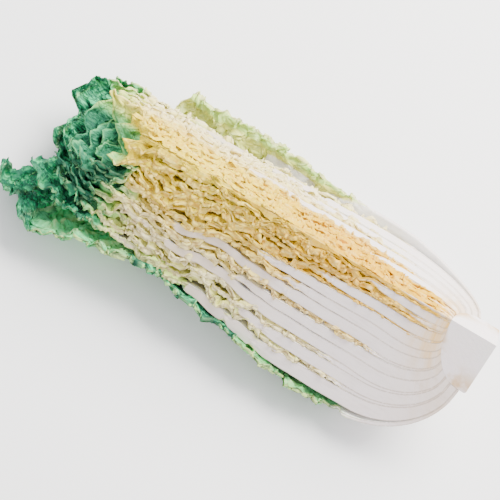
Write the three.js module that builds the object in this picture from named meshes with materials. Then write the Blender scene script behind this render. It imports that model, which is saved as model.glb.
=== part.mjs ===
// A quarter of a napa cabbage, cut twice lengthwise through its stem.
// It lies on its round outside, with the edge between its two cut faces on top.
// Units are millimetres and +Z is up. +X runs along the head towards the cut end of the stem.
// The origin is on the flat that the head rests on, straight below the edge between the cut faces.
//
// A place in the head is given by t, the distance from the cut end of the stem, by r, the distance
// from the head's own axis, and by an angle round that axis: 0 is straight down, -45 degrees is the
// front cut face and +45 degrees is the back one.
import * as THREE from "three";

const DEGREE = Math.PI / 180;

// Size of the head
const RIDGE_HEIGHT = 82; // from the surface up to the edge between the cut faces, which is the axis
const ORIGIN_T = 130; // where along the head the origin is
const CUT_ANGLE = 45; // each cut face, either side of straight down
const FRONT_RADIUS = [[0, 85], [85, 85], [118, 83], [161, 75], [210, 69], [242, 62], [265, 53], [305, 36]];
const BACK_RADIUS = [[0, 85], [85, 85], [118, 84], [161, 82], [210, 79], [242, 74], [265, 68], [305, 50]];
const BELOW_RADIUS = [[0, 86.5], [100, 87], [170, 86], [215, 80], [250, 69], [285, 50], [305, 42]];

// The stem: a short butt outside the head and a dome inside it, which the leaves grow from
const DOME_T = 30;
const FRONT_STEM = { radius: 36, shoulder: 4, roundness: 50 };
const BACK_STEM = { radius: 27, shoulder: 13, roundness: 78 };
const BEVEL = 1.5; // round the cut end
const HEART_ROUNDNESS = 18; // how far from the stem the innermost leaves take to run straight

// The leaves, from the outermost in. The last one is followed by the bud in the middle of the heart.
const MIDRIB_ANGLES = [0, -40, 45, -75, 10, -50, -20, 50, -45, -80, -25, 30, -50, 60, 0, -60, 45];
const LEAF_COUNT = MIDRIB_ANGLES.length;
const OUTER_MIDRIB = 10.5;
const INNER_MIDRIB = 4.1;
const LOOSE_MIDRIB = 4; // the loose outermost leaf's, which is thin
const MIDRIB = { baseAngle: 55, tipAngle: 18, from: 65, to: 240, kept: 0.1, roundness: 0.7 }; // half widths
const BLADE = 1.3; // thickness of a leaf away from its midrib
const GAP = 0.6; // between one leaf and the next
const TIP_THINNING = 0.6; // how much of its thickness a blade loses by its tip
const STEM_GAP = 0.8; // between the leaves and the dome
const ROOM = [[0, 1.9], [60, 1.9], [120, 2.8], [180, 3.8], [240, 4.4], [305, 4.6]]; // for blade and creases
const OUTER_END = 289; // where the tips of the closed head's outer leaves are
const BUD_END = 236;
const CLOSING = [7, 32]; // how far past its end a leaf's room closes, from and to
const HOLLOW = 0.42; // share of the radius left empty at those tips, over the heart
const EDGE = { drop: 14, width: 50 }; // how a leaf's end falls away either side of its midrib
const EDGE_WAVES = [[3.5, 6], [1.5, 2.7]]; // of a leaf's end: height in mm, spread in degrees
const WAVE = { height: 2.4, length: 62, from: 90, to: 200, turn: 2.2 };

// The loose outermost leaf has sprung open at its tip and at both cuts
const LOOSE_END = 300;
const LOOSE_EDGE = { drop: 74, width: 40, tip: -20 }; // falls away from the tip, in mm and degrees
const TIP_OPENING = { from: 200, to: 288, by: 33 };
const RUFFLED = { from: 215, to: 260 };
const FRONT_OPENING = { at: 78, length: 26, by: 4, angle: 2.5, full: 90 };
const BACK_OPENING = { from: 105, to: 165, by: 7, angle: 6 };
const FOLLOWING = [1, 0.34, 0.12]; // how far it and the next leaves take part in the opening of the tip
const RUFFLE = { height: 3, length: 44, spread: 9 };

// Grid of every leaf
const STRAIGHT_T = 60; // past here all leaves have their rows at the same t
const DOME_SHARE_T = 35; // the leaves share the dome's surface as they do the head's radius here
const BASE_ROWS = [0, 0.04, 0.13, 0.28, 0.5, 0.74]; // shares of the way from the dome to STRAIGHT_T
const ROW_STEP = 16;
const COLUMNS = 9;

const clamp = (x, low = 0, high = 1) => Math.min(high, Math.max(low, x));
const mix = (a, b, share) => a + (b - a) * share;

function smooth(from, to, x) {
  const share = clamp((x - from) / (to - from));
  return share * share * (3 - 2 * share);
}

// A smooth curve through [t, value] points, read at t.
function along(points, t) {
  const last = points.length - 1;
  let i = 0;
  while (i < last - 1 && t > points[i + 1][0]) i += 1;
  const [before, from, to, after] = [i - 1, i, i + 1, i + 2].map((n) => points[clamp(n, 0, last)]);
  const span = to[0] - from[0];
  const slopeIn = ((to[1] - before[1]) / (to[0] - before[0])) * span;
  const slopeOut = ((after[1] - from[1]) / (after[0] - from[0])) * span;
  const s = clamp((t - from[0]) / span);
  const [s2, s3] = [s * s, s * s * s];
  return (
    (2 * s3 - 3 * s2 + 1) * from[1] +
    (s3 - 2 * s2 + s) * slopeIn +
    (3 * s2 - 2 * s3) * to[1] +
    (s3 - s2) * slopeOut
  );
}

// A point of the head in the part's frame.
function place(t, r, angle) {
  const a = angle * DEGREE;
  return new THREE.Vector3(ORIGIN_T - t, r * Math.sin(a), RIDGE_HEIGHT - r * Math.cos(a));
}

// The stem's measures at an angle, between those at the two cut faces.
function stemAt(angle) {
  const share = clamp((angle + CUT_ANGLE) / (2 * CUT_ANGLE));
  return {
    radius: mix(FRONT_STEM.radius, BACK_STEM.radius, share),
    shoulder: mix(FRONT_STEM.shoulder, BACK_STEM.shoulder, share),
    roundness: mix(FRONT_STEM.roundness, BACK_STEM.roundness, share),
  };
}

// Depth is 0 on the axis and 1 on the outside of the closed head. This is where a depth meets the dome.
function domeAt(depth, angle) {
  const stem = stemAt(angle);
  return {
    t: mix(stem.shoulder, DOME_T, Math.cos((depth * Math.PI) / 2)),
    r: stem.radius * Math.sin((depth * Math.PI) / 2),
  };
}

// The highest r that stays above the surface that the head lies on.
const floorRadius = (angle) => RIDGE_HEIGHT / Math.cos(angle * DEGREE);

function headRadius(t, angle) {
  const below = Math.cos(2 * clamp(angle, -CUT_ANGLE, CUT_ANGLE) * DEGREE) ** 2;
  const side = along(angle < 0 ? FRONT_RADIUS : BACK_RADIUS, t);
  return Math.min(mix(side, along(BELOW_RADIUS, t), below), floorRadius(angle));
}

// Leaves swing out from the dome and then run along the head.
function radiusAt(t, depth, angle) {
  const dome = domeAt(depth, angle);
  const reach = mix(HEART_ROUNDNESS, stemAt(angle).roundness, depth);
  const u = clamp((t - dome.t) / reach);
  const swing = Math.sqrt(1 - (1 - u) ** 2);
  const waved = WAVE.height * smooth(WAVE.from, WAVE.to, t) * 4 * depth * (1 - depth);
  const wave = waved * Math.sin((2 * Math.PI * t) / WAVE.length + 4 * depth + WAVE.turn * angle * DEGREE);
  return mix(dome.r, depth * headRadius(t, angle), swing) + wave;
}

// Every leaf as its measures. number is 0 for the outermost.
const leaves = MIDRIB_ANGLES.map((midrib, number) => {
  const inward = number / LEAF_COUNT;
  return {
    number,
    midrib,
    ribHeight: number === 0 ? LOOSE_MIDRIB : mix(OUTER_MIDRIB, INNER_MIDRIB, inward),
    end: number === 0 ? LOOSE_END : mix(OUTER_END, BUD_END, inward),
    edge: number === 0 ? LOOSE_EDGE : { ...EDGE, tip: midrib },
  };
});
const bud = { number: LEAF_COUNT, midrib: 0, ribHeight: 0, end: BUD_END, edge: { ...EDGE, tip: 0 } };
const layers = [...leaves, bud];

// The midrib's height over the blade, which is widest and thickest near the stem.
function ribAt(leaf, t, angle) {
  const { baseAngle, tipAngle, from, to, kept, roundness } = MIDRIB;
  const halfWidth = mix(baseAngle, tipAngle, smooth(from, to, t));
  const off = clamp(Math.abs(angle - leaf.midrib) / halfWidth);
  return leaf.ribHeight * (1 - off * off) ** roundness * mix(1, kept, smooth(from, to, t));
}

// The leaves share the radius: each one's share is its midrib and its room for creases, and it
// closes behind the tip, so that the leaves outside it bend in over the top of the heart.
function sharesAt(t, angle) {
  const open = (leaf) => 1 - smooth(leaf.end + CLOSING[0], leaf.end + CLOSING[1], t);
  const weights = layers.map((leaf) => (ribAt(leaf, t, angle) + along(ROOM, t)) * open(leaf));
  const leafTotal = weights.reduce((a, b) => a + b, 0);
  const hollow = HOLLOW * smooth(BUD_END, OUTER_END, t);
  const total = leafTotal / (1 - hollow);
  const inner = new Array(layers.length);
  let sum = hollow * total;
  for (let n = layers.length - 1; n >= 0; n -= 1) {
    inner[n] = sum / total;
    sum += weights[n];
  }
  return { inner, share: weights.map((w) => w / total), ribShare: (leaf) => ribAt(leaf, t, angle) / total };
}

// How far the loose leaves stand off the closed head.
function flareAt(leaf, t, angle) {
  const { from, to, by } = TIP_OPENING;
  const opened = smooth(RUFFLED.from, RUFFLED.to, t);
  const ruffle = RUFFLE.height * Math.sin((2 * Math.PI * t) / RUFFLE.length + angle / RUFFLE.spread);
  const tip = (FOLLOWING[leaf.number] ?? 0) * (by * smooth(from, to, t) + ruffle * opened);
  if (leaf.number > 0) return tip;
  const hump = Math.exp(-(((t - FRONT_OPENING.at) / FRONT_OPENING.length) ** 2));
  const front = FRONT_OPENING.by * hump * smooth(-CUT_ANGLE / 2, -CUT_ANGLE, angle);
  const back = BACK_OPENING.by * smooth(BACK_OPENING.from, BACK_OPENING.to, t) * smooth(0, CUT_ANGLE, angle);
  return tip + front + back * (1 - opened);
}

// The outermost leaf reaches past the cuts where it has sprung open.
function angleAt(leaf, t, share) {
  if (leaf.number > 0) return mix(-CUT_ANGLE, CUT_ANGLE, share);
  const front = FRONT_OPENING.angle * smooth(STRAIGHT_T, FRONT_OPENING.full, t);
  const back = BACK_OPENING.angle * smooth(BACK_OPENING.from, BACK_OPENING.to, t);
  return mix(-CUT_ANGLE - front, CUT_ANGLE + back, share);
}

// The leaf's end is furthest out at its tip and waved along its edge.
function endAt(leaf, angle) {
  const { drop, width, tip } = leaf.edge;
  const turned = angle + 6 * leaf.number; // so that no two leaves wave alike
  const waves = EDGE_WAVES.reduce((sum, [height, spread]) => sum + height * Math.sin(turned / spread), 0);
  return leaf.end - drop * (1 - Math.exp(-(((angle - tip) / width) ** 2))) + waves;
}

// The outer and inner point of a leaf at row t and an angle. base is the row's share of the way
// from the dome to STRAIGHT_T, or null past there.
function leafPoints(leaf, t, angle, base) {
  const shareT = base === null ? t : mix(DOME_SHARE_T, STRAIGHT_T, base);
  const shares = sharesAt(shareT, angle);
  const rowT = (depth) => {
    if (base === null) return t;
    const start = domeAt(depth, angle).t;
    return mix(start + STEM_GAP, STRAIGHT_T, base);
  };
  const at = (depth) => {
    const row = rowT(depth);
    const clear = base === 0 ? STEM_GAP * Math.sin((depth * Math.PI) / 2) : 0;
    return { t: row, r: radiusAt(row, depth, angle) + clear };
  };
  const n = leaf.number;
  const from = shares.inner[n];
  const to = from + shares.share[n];
  const [a, b] = [at(from), at(to)];
  const band = Math.hypot(b.t - a.t, b.r - a.r);
  const scale = band / shares.share[n];
  const thick = Math.min(band - GAP, shares.ribShare(leaf) * scale + BLADE);
  const half = thick / scale / 2;
  const middle = n === 0 ? to - half : (from + to) / 2; // the outermost lies flat on the surface
  const flare = flareAt(leaf, t, angle);
  return [middle + half, middle - half].map((depth, side) => {
    const p = at(depth);
    const limit = floorRadius(angle) - (side ? thick : 0);
    return place(p.t, Math.min(p.r + flare, limit), angle);
  });
}

// A solid from rows of outer points and rows of inner points, each row running from the front cut
// face to the back one. Both faces are split into triangles alike.
function leafGeometry(outer, inner) {
  const rows = outer.length;
  const columns = outer[0].length;
  const points = [...outer.flat(), ...inner.flat()];
  const o = (j, m) => j * columns + m;
  const i = (j, m) => rows * columns + j * columns + m;
  const faces = [];
  for (let j = 0; j < rows - 1; j += 1) {
    for (let m = 0; m < columns - 1; m += 1) {
      faces.push([o(j, m), o(j + 1, m), o(j + 1, m + 1)], [o(j, m), o(j + 1, m + 1), o(j, m + 1)]);
      faces.push([i(j, m), i(j + 1, m + 1), i(j + 1, m)], [i(j, m), i(j, m + 1), i(j + 1, m + 1)]);
    }
    const end = columns - 1;
    faces.push([o(j + 1, 0), o(j, 0), i(j, 0)], [o(j + 1, 0), i(j, 0), i(j + 1, 0)]);
    faces.push([o(j, end), o(j + 1, end), i(j + 1, end)], [o(j, end), i(j + 1, end), i(j, end)]);
  }
  for (let m = 0; m < columns - 1; m += 1) {
    const end = rows - 1;
    faces.push([o(0, m), o(0, m + 1), i(0, m + 1)], [o(0, m), i(0, m + 1), i(0, m)]);
    faces.push([o(end, m + 1), o(end, m), i(end, m)], [o(end, m + 1), i(end, m), i(end, m + 1)]);
  }
  return geometryOf(points, faces);
}

// A solid between the axis and rows of outer points.
function wedgeGeometry(outer, axis) {
  const rows = outer.length;
  const columns = outer[0].length;
  const points = [...outer.flat(), ...axis];
  const o = (j, m) => j * columns + m;
  const c = (j) => rows * columns + j;
  const faces = [];
  const end = columns - 1;
  for (let j = 0; j < rows - 1; j += 1) {
    for (let m = 0; m < end; m += 1) {
      faces.push([o(j, m), o(j + 1, m), o(j + 1, m + 1)], [o(j, m), o(j + 1, m + 1), o(j, m + 1)]);
    }
    faces.push([o(j + 1, 0), o(j, 0), c(j)], [o(j + 1, 0), c(j), c(j + 1)]);
    faces.push([o(j, end), o(j + 1, end), c(j + 1)], [o(j, end), c(j + 1), c(j)]);
  }
  for (let m = 0; m < end; m += 1) {
    faces.push([o(0, m), o(0, m + 1), c(0)], [o(rows - 1, m + 1), o(rows - 1, m), c(rows - 1)]);
  }
  return geometryOf(points, faces);
}

function geometryOf(points, faces) {
  const geometry = new THREE.BufferGeometry().setFromPoints(points);
  geometry.setIndex(faces.flat());
  geometry.computeVertexNormals();
  return geometry;
}

// The rows of a leaf: some from the dome out, then one every ROW_STEP, then some that follow its edge.
// Those lie on the straight lines between whole rows, as the next leaves do, so none cross.
function rowsOf(leaf) {
  const shares = Array.from({ length: COLUMNS + 1 }, (_, m) => m / COLUMNS);
  const rowAt = (t) => shares.map((share) => leafPoints(leaf, t, angleAt(leaf, t, share), null));
  const ends = shares.map((share) => endAt(leaf, angleAt(leaf, leaf.end, share)));
  const lastWhole = Math.min(...ends) - ROW_STEP / 2;
  const rows = BASE_ROWS.map((base) =>
    shares.map((share) => leafPoints(leaf, 0, angleAt(leaf, 0, share), base)),
  );
  let t = STRAIGHT_T;
  for (; t < lastWhole; t += ROW_STEP) rows.push(rowAt(t));
  const whole = t - ROW_STEP;
  const furthest = Math.ceil((Math.max(...ends) - whole) / ROW_STEP) + 2;
  const ahead = Array.from({ length: furthest }, (_, n) => rowAt(whole + n * ROW_STEP));
  const onLines = (m, share) => {
    const cells = (mix(whole, ends[m], share) - whole) / ROW_STEP;
    const n = Math.min(Math.floor(cells), ahead.length - 2);
    const [o, i] = [0, 1].map((side) => ahead[n][m][side].clone().lerp(ahead[n + 1][m][side], cells - n));
    const thinned = (TIP_THINNING * share * share) / 2;
    return [o.clone().lerp(i, thinned), i.clone().lerp(o, thinned)];
  };
  const count = Math.ceil((Math.max(...ends) - whole) / ROW_STEP) + 1;
  for (let n = 1; n <= count; n += 1) rows.push(ends.map((_, m) => onLines(m, n / count)));
  return rows;
}

function leafMesh(leaf) {
  const rows = rowsOf(leaf);
  const side = (which) => rows.map((row) => row.map((pair) => pair[which]));
  return leafGeometry(side(0), side(1));
}

// The bud fills the middle of the heart as far as the axis.
function budMesh() {
  const outer = rowsOf(bud).map((row) => row.map((pair) => pair[0]));
  const axis = outer.map((row) => place(ORIGIN_T - row[0].x, 0, 0));
  return wedgeGeometry(outer, axis);
}

// The stem: a flat cut end, straight sides as far as the shoulder, then the dome.
function stemMesh() {
  const angles = Array.from({ length: COLUMNS + 1 }, (_, m) => mix(-CUT_ANGLE, CUT_ANGLE, m / COLUMNS));
  const depths = [1, 0.88, 0.75, 0.6, 0.45, 0.3, 0.12];
  const profile = (angle) => [
    [0, stemAt(angle).radius - BEVEL],
    [BEVEL, stemAt(angle).radius],
    ...depths.map((depth) => [domeAt(depth, angle).t, domeAt(depth, angle).r]),
  ];
  const outlines = angles.map(profile);
  const outer = outlines[0].map((_, j) => angles.map((angle, m) => place(...outlines[m][j], angle)));
  const axis = outlines[0].map(([t]) => place(t, 0, 0));
  return wedgeGeometry(outer, axis);
}

const finish = (name, color, roughness) =>
  new THREE.MeshStandardMaterial({ name, color, roughness, metalness: 0 });
const STEM_WHITE = finish("stem_white", 0xeee6dc, 0.55);
const WRAPPER_GREEN = finish("wrapper_green", 0x4f8a3c, 0.5);
const HEAD_PALE = finish("head_pale", 0xe6e6c2, 0.5);
const HEART_YELLOW = finish("heart_yellow", 0xf0d870, 0.5);

const cabbage = new THREE.Group();

function add(name, geometry, material) {
  const mesh = new THREE.Mesh(geometry, material);
  mesh.name = name;
  cabbage.add(mesh);
}

const WRAPPERS = 3;
const HEART_FROM = 10;
const kindOf = (number) => {
  if (number < WRAPPERS) return ["wrapper_leaf", WRAPPER_GREEN];
  return number < HEART_FROM ? ["head_leaf", HEAD_PALE] : ["heart_leaf", HEART_YELLOW];
};

add("stem_butt", stemMesh(), STEM_WHITE);
for (const leaf of leaves) {
  const [kind, material] = kindOf(leaf.number);
  add(`${kind}_${String(leaf.number + 1).padStart(2, "0")}`, leafMesh(leaf), material);
}
add("heart_bud", budMesh(), HEART_YELLOW);

export default cabbage;
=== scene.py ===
# %% [markdown]
# # A quarter of a napa cabbage
#
# A napa cabbage is a barrel of leaves packed round a short stem. Each leaf is a thick white
# midrib with a thin crinkled blade either side of it. This head was cut twice lengthwise, so two
# flat faces meet in a ridge, and each face shows every leaf edge on.
#
# The solids in model.glb hold the size, the order of the leaves and where each one
# lies. This script dresses each solid with a fine leaf of the same form: it follows the same
# rules for where a leaf runs, and adds creases, blisters, torn edges, veins and colour.

import math

import bpy
import numpy as np
from mathutils import Matrix, Vector


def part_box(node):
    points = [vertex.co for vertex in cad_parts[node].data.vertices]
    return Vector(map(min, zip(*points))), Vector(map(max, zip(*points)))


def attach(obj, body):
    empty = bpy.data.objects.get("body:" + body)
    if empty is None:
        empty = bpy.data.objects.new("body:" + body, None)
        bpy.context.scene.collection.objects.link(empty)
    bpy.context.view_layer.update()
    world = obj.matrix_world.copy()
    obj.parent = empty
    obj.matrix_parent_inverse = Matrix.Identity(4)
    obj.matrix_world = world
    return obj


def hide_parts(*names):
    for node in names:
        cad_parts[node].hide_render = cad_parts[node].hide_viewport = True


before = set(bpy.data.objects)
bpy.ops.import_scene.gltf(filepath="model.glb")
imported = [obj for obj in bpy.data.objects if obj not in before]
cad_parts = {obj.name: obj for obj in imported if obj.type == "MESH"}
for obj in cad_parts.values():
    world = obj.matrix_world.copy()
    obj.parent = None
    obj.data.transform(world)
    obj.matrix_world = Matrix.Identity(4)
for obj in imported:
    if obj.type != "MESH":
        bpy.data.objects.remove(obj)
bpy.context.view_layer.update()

MM = 0.001
# The stem's highest corner is at its cut end and on the ridge, which is the head's own axis.
_, STEM_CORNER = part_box("stem_butt")
BUTT_X, _, RIDGE_HEIGHT = np.array(STEM_CORNER) / MM
CUT_ANGLE = 45.0  # each cut face, either side of straight down
print("butt at", round(BUTT_X, 1), "mm, ridge", round(RIDGE_HEIGHT, 1), "mm above the surface")

# %% [markdown]
# ## Where a leaf runs
#
# A place in the head is t, the distance from the cut end of the stem, r, the distance from the
# axis, and an angle round the axis, which is 0 straight down, -45 degrees on the front cut face
# and 45 on the back one. All leaves leave a dome at the top of the stem, swing out and run along
# the head. They share the radius between them: a leaf takes more where its midrib is.
# The numbers here are the solids' own, so that a fine leaf lies where its solid does.

# %% The head's form
FRONT_RADIUS = [(0, 85), (85, 85), (118, 83), (161, 75), (210, 69), (242, 62), (265, 53), (305, 36)]
BACK_RADIUS = [(0, 85), (85, 85), (118, 84), (161, 82), (210, 79), (242, 74), (265, 68), (305, 50)]
BELOW_RADIUS = [(0, 86.5), (100, 87), (170, 86), (215, 80), (250, 69), (285, 50), (305, 42)]
DOME_T = 30.0
FRONT_STEM = {"radius": 36.0, "shoulder": 4.0, "roundness": 50.0}
BACK_STEM = {"radius": 27.0, "shoulder": 13.0, "roundness": 78.0}
HEART_ROUNDNESS = 18.0
MIDRIB_ANGLES = [0, -40, 45, -75, 10, -50, -20, 50, -45, -80, -25, 30, -50, 60, 0, -60, 45]
LEAF_COUNT = len(MIDRIB_ANGLES)
OUTER_MIDRIB, INNER_MIDRIB, LOOSE_MIDRIB = 10.5, 4.1, 4.0
MIDRIB = {"angles": (55, 18), "narrows": (65, 240), "kept": 0.1, "power": 0.7}
ROOM = [(0, 1.9), (60, 1.9), (120, 2.8), (180, 3.8), (240, 4.4), (305, 4.6)]
OUTER_END, BUD_END, LOOSE_END = 289.0, 236.0, 300.0
HOLLOW = 0.42
CLOSING = (7, 32)
EDGE, LOOSE_EDGE = (14, 50), (74, 40)  # mm lower at the sides, and how wide the tip is
LOOSE_TIP_ANGLE = -20
EDGE_WAVES, EDGE_SHIFT = [(3.5, 6), (1.5, 2.7)], 6
TIP_OPENING = {"from": (200, 288), "by": 33}
FRONT_OPENING = {"from": (60, 90), "at": 78, "length": 26, "by": 4, "angle": 2.5}
BACK_OPENING = {"from": (105, 165), "by": 7, "angle": 6}
FOLLOWING = [1, 0.34, 0.12]  # how far each outer leaf opens with the outermost one
RUFFLE = {"height": 3, "length": 44, "lean": 9, "from": (215, 260)}
WAVE = {"height": 2.4, "length": 62.0, "turn": 4, "lean": 2.2, "from": (90, 200)}
STRAIGHT_T = 60.0  # beyond it a leaf's rows are square to the head's axis
CRUMPLED_LEAVES, CRUMPLE_ROOM = range(2, 10), 2.2
CRUMPLE_OFF, CRUMPLE_FRONT = (22, 42), (5, -25)  # degrees off the midrib, and round the head
CRUMPLE_FROM = (42, 72), (170, 215)


def mix(a, b, share):
    return a + (b - a) * share


def ease(start, end, x):
    share = np.clip((x - start) / (end - start), 0, 1)
    return share * share * (3 - 2 * share)


def between(rise, fall, x):
    """1 between a rising and a falling range, 0 outside them."""
    return ease(*rise, x) * (1 - ease(*fall, x))


def bell(x, width):
    return np.exp(-((x / width) ** 2))


def along(points, t):
    """A smooth curve through (t, value) points, read at an array of t."""
    ts, values = (np.array(column, float) for column in zip(*points))
    last = len(ts) - 1
    i = np.clip(np.searchsorted(ts, t, side="left") - 1, 0, last - 1)
    before, after = np.maximum(i - 1, 0), np.minimum(i + 2, last)
    span = ts[i + 1] - ts[i]
    slope_in = (values[i + 1] - values[before]) / (ts[i + 1] - ts[before]) * span
    slope_out = (values[after] - values[i]) / (ts[after] - ts[i]) * span
    s = np.clip((t - ts[i]) / span, 0, 1)
    return (
        (2 * s**3 - 3 * s**2 + 1) * values[i]
        + (s**3 - 2 * s**2 + s) * slope_in
        + (3 * s**2 - 2 * s**3) * values[i + 1]
        + (s**3 - s**2) * slope_out
    )


def stem_at(angle):
    share = np.clip((angle + CUT_ANGLE) / (2 * CUT_ANGLE), 0, 1)
    return {key: mix(FRONT_STEM[key], BACK_STEM[key], share) for key in FRONT_STEM}


def dome_at(depth, angle):
    """Where a depth, 0 on the axis and 1 on the outside of the closed head, meets the dome."""
    stem = stem_at(angle)
    turn = depth * math.pi / 2
    return mix(stem["shoulder"], DOME_T, np.cos(turn)), stem["radius"] * np.sin(turn)


def floor_radius(angle):
    return RIDGE_HEIGHT / np.cos(np.radians(angle))


def head_radius(t, angle):
    below = np.cos(2 * np.radians(np.clip(angle, -CUT_ANGLE, CUT_ANGLE))) ** 2
    side = np.where(angle < 0, along(FRONT_RADIUS, t), along(BACK_RADIUS, t))
    return np.minimum(mix(side, along(BELOW_RADIUS, t), below), floor_radius(angle))


def radius_at(t, depth, angle):
    dome_t, dome_r = dome_at(depth, angle)
    reach = mix(HEART_ROUNDNESS, stem_at(angle)["roundness"], depth)
    swing = np.sqrt(np.maximum(1 - (1 - np.clip((t - dome_t) / reach, 0, 1)) ** 2, 0))
    phase = math.tau * t / WAVE["length"] + WAVE["turn"] * depth + WAVE["lean"] * np.radians(angle)
    wave = WAVE["height"] * ease(*WAVE["from"], t) * 4 * depth * (1 - depth)
    return mix(dome_r, depth * head_radius(t, angle), swing) + wave * np.sin(phase)


class Leaf:
    """A leaf's own measures. Number 0 is the outermost, and LEAF_COUNT is the bud."""

    def __init__(self, number):
        self.n = number
        self.seed = 20 + 10 * number
        self.inward = number / LEAF_COUNT
        self.midrib, self.rib_height = 0, 0.0
        if number < LEAF_COUNT:
            self.midrib = MIDRIB_ANGLES[number]
            self.rib_height = mix(OUTER_MIDRIB, INNER_MIDRIB, self.inward)
        self.end = mix(OUTER_END, BUD_END, self.inward)
        self.edge, self.tip_angle = EDGE, self.midrib
        if number == 0:
            self.rib_height, self.end = LOOSE_MIDRIB, LOOSE_END
            self.edge, self.tip_angle = LOOSE_EDGE, LOOSE_TIP_ANGLE

    def rib_at(self, t, angle):
        tipward = ease(*MIDRIB["narrows"], t)
        off = np.clip(np.abs(angle - self.midrib) / mix(*MIDRIB["angles"], tipward), 0, 1)
        height = self.rib_height * (1 - off**2) ** MIDRIB["power"]
        return height * mix(1, MIDRIB["kept"], tipward)

    def crumple_at(self, t, angle):
        """mm of extra room for the crumpled blades that show between the ribs on the front cut."""
        if self.n not in CRUMPLED_LEAVES:
            return 0 * (t + angle)
        bladed = ease(*CRUMPLE_OFF, np.abs(angle - self.midrib)) * ease(*CRUMPLE_FRONT, angle)
        return CRUMPLE_ROOM * bladed * between(*CRUMPLE_FROM, t)

    def end_at(self, angle):
        drop, width = self.edge
        shifted = angle + EDGE_SHIFT * self.n
        waves = sum(height * np.sin(shifted / spread) for height, spread in EDGE_WAVES)
        return self.end - drop * (1 - bell(angle - self.tip_angle, width)) + waves

    def angle_at(self, t, share):
        if self.n > 0:
            return mix(-CUT_ANGLE, CUT_ANGLE, share) + 0 * t
        front = FRONT_OPENING["angle"] * ease(*FRONT_OPENING["from"], t)
        back = BACK_OPENING["angle"] * ease(*BACK_OPENING["from"], t)
        return mix(-CUT_ANGLE - front, CUT_ANGLE + back, share)

    def flare_at(self, t, angle):
        """How far a loose leaf stands off the closed head."""
        if self.n >= len(FOLLOWING):
            return 0 * t
        ruffled = ease(*RUFFLE["from"], t)
        ruffle = RUFFLE["height"] * np.sin(math.tau * t / RUFFLE["length"] + angle / RUFFLE["lean"])
        tip = TIP_OPENING["by"] * ease(*TIP_OPENING["from"], t) + ruffle * ruffled
        if self.n > 0:
            return FOLLOWING[self.n] * tip
        hump = bell(t - FRONT_OPENING["at"], FRONT_OPENING["length"])
        front = FRONT_OPENING["by"] * hump * ease(-CUT_ANGLE / 2, -CUT_ANGLE, angle)
        back = BACK_OPENING["by"] * ease(*BACK_OPENING["from"], t)
        return tip + front + back * (1 - ruffled) * ease(0, CUT_ANGLE, angle)


LEAVES = [Leaf(number) for number in range(LEAF_COUNT + 1)]


def shares_at(t, angle):
    """The depth where each leaf's room begins, and its share of the radius."""
    ribs = np.array([leaf.rib_at(t, angle) for leaf in LEAVES])
    start, stop = CLOSING
    closing = np.array([1 - ease(leaf.end + start, leaf.end + stop, t) for leaf in LEAVES])
    crumpled = np.array([leaf.crumple_at(t, angle) for leaf in LEAVES])
    weights = (ribs + along(ROOM, t) + crumpled) * closing
    hollow = HOLLOW * ease(BUD_END, OUTER_END, t)
    total = weights.sum(axis=0) / (1 - hollow)
    share = weights / total
    inner = hollow + share[::-1].cumsum(axis=0)[::-1] - share
    return inner, share


print(LEAF_COUNT, "leaves and a bud, tips between", BUD_END, "and", LOOSE_END, "mm from the butt")

# %% [markdown]
# ## Creases and blisters
#
# A blade grows faster than its veins, so it buckles: broad folds, finer creases and, on the
# outer leaves, winding blisters. Smooth noise on a lattice of random numbers gives the folds and
# creases, and its absolute value, a narrow valley wherever the noise changes sign, gives the
# blisters. Every lattice comes from a fixed seed, so each run makes the same cabbage.

# %% Noise
LATTICE = 128


def noise(u, v, seed):
    """Smooth noise from -1 to 1 with a wave about two units long."""
    grid = np.random.default_rng(seed).uniform(-1, 1, (LATTICE, LATTICE))
    u, v = np.broadcast_arrays(u, v)
    i, j = np.floor(u).astype(int), np.floor(v).astype(int)
    a, b = u - i, v - j
    a, b = a * a * (3 - 2 * a), b * b * (3 - 2 * b)
    g = lambda di, dj: grid[(i + di) % LATTICE, (j + dj) % LATTICE]
    return mix(mix(g(0, 0), g(1, 0), a), mix(g(0, 1), g(1, 1), a), b)


sample = noise(np.linspace(0, 99, 999), 0.5, 1)
print("noise spans", round(sample.min(), 2), "to", round(sample.max(), 2))

# %% [markdown]
# ## A mesh from rows of points
#
# A leaf is a closed skin: a grid of points outside, one inside, and narrow strips that join them
# round the edge. The strips on the two cut faces are the knife's cut. They are marked as cut,
# which the finish reads, and shaded flat where they cross a stiff rib.

# %% Mesh builders


def add_object(name, data):
    made = bpy.data.objects.new(name, data)
    bpy.context.scene.collection.objects.link(made)
    return made


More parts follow.
